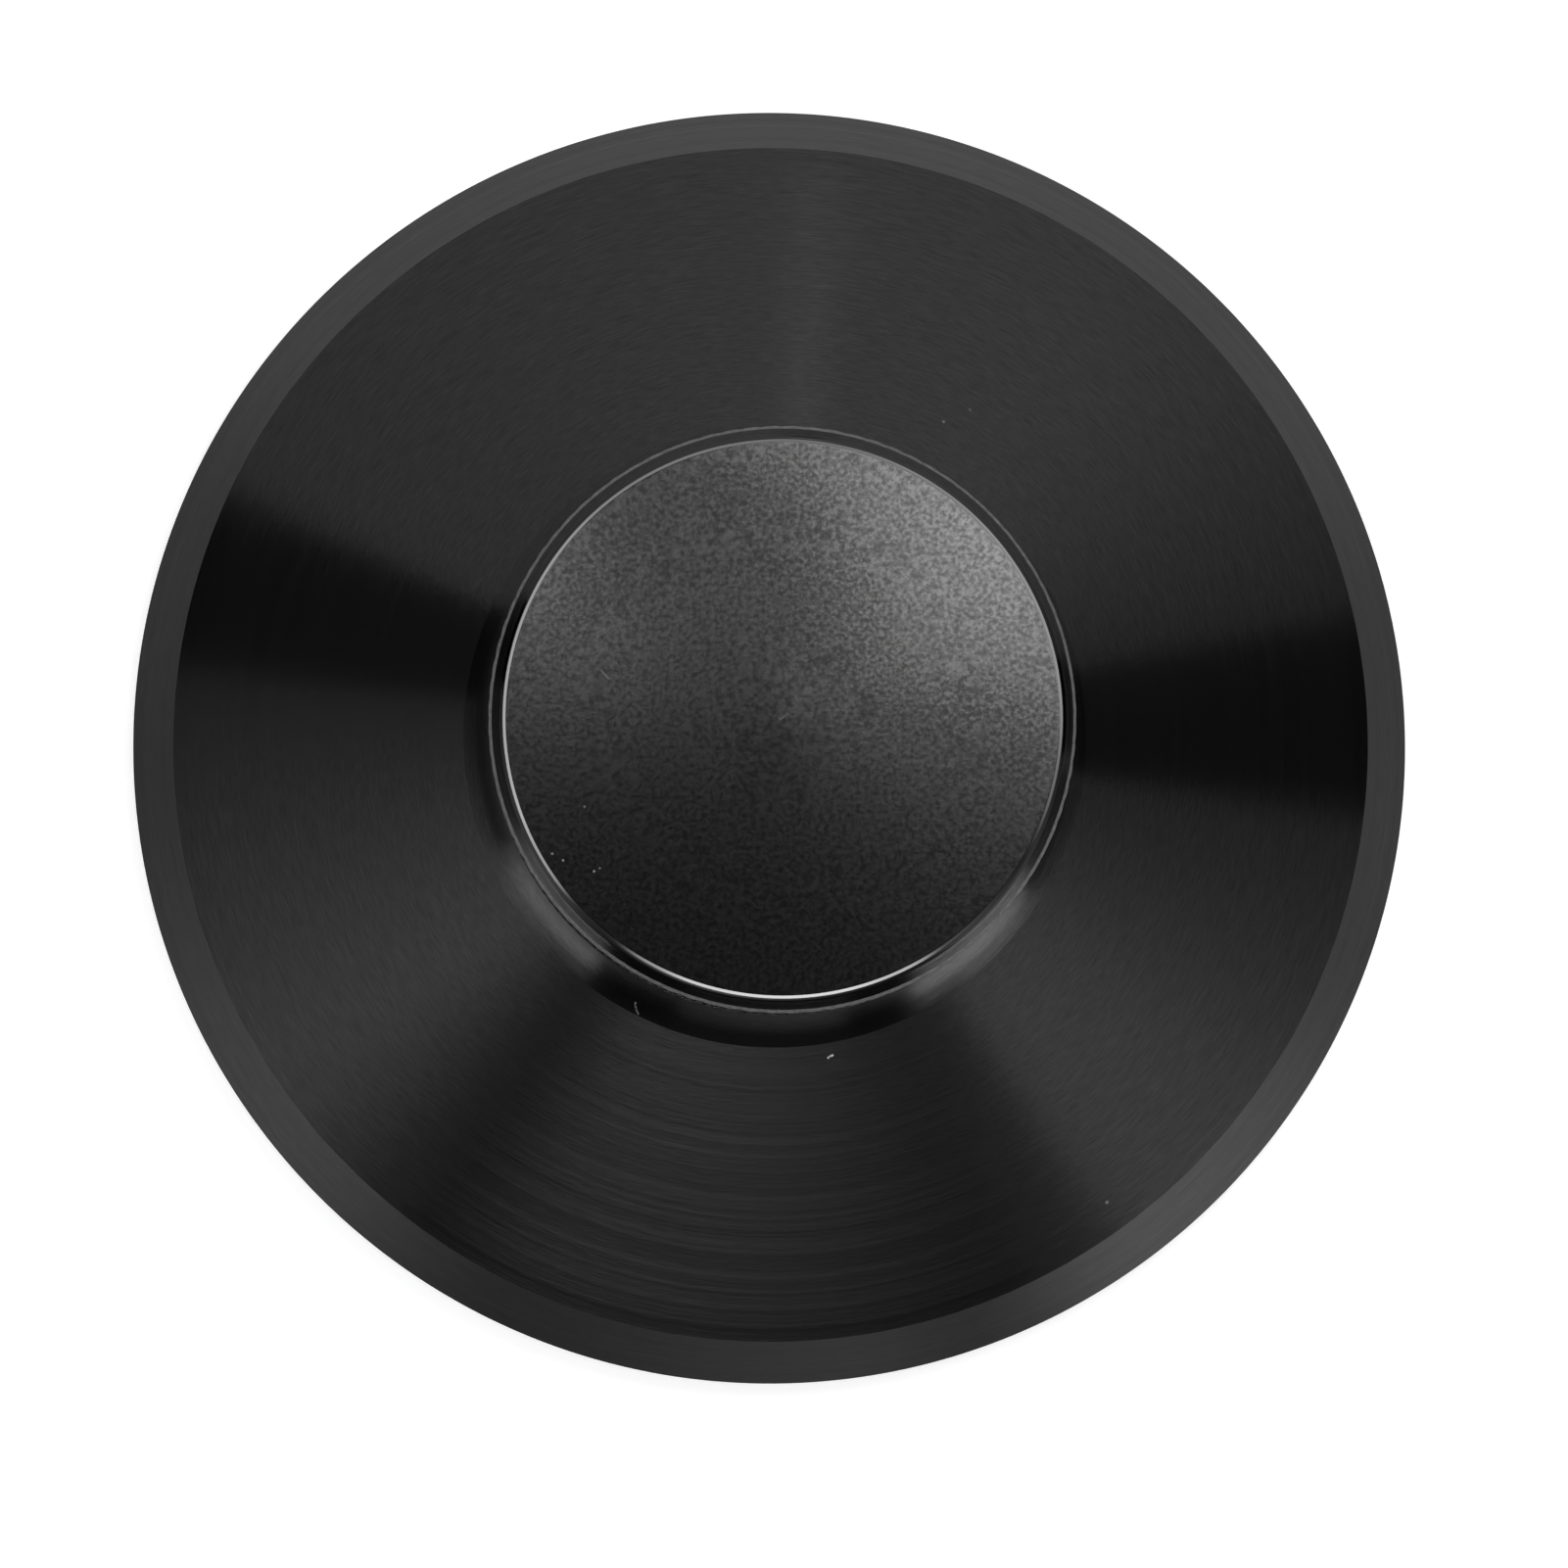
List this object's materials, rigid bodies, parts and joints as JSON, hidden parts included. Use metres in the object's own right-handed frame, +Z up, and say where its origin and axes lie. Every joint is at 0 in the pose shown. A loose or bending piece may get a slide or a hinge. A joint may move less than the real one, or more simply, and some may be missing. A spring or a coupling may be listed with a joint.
{
  "type": "record weight",
  "caption": "Round turned metal weight with a waisted knurled knob, a shallow cone flange and a blind spindle hole, resting on a felt ring.",
  "frame": {"origin": "on the turning axis, in the plane of the felt ring's lower face, which is the rest plane", "axes": "+Z up along the turning axis towards the knob's top face; X and Y are free, as the body is round"},
  "size_m": [0.089, 0.089, 0.0452],
  "materials": {
    "black_anodised_aluminium": "turned and black anodised, glossy; top face of the knob bead-blasted",
    "black_felt": "pressed felt, matte"
  },
  "bodies": {
    "root": {"weight_body": "black_anodised_aluminium", "felt_ring": "black_felt"}
  },
  "joints": []
}
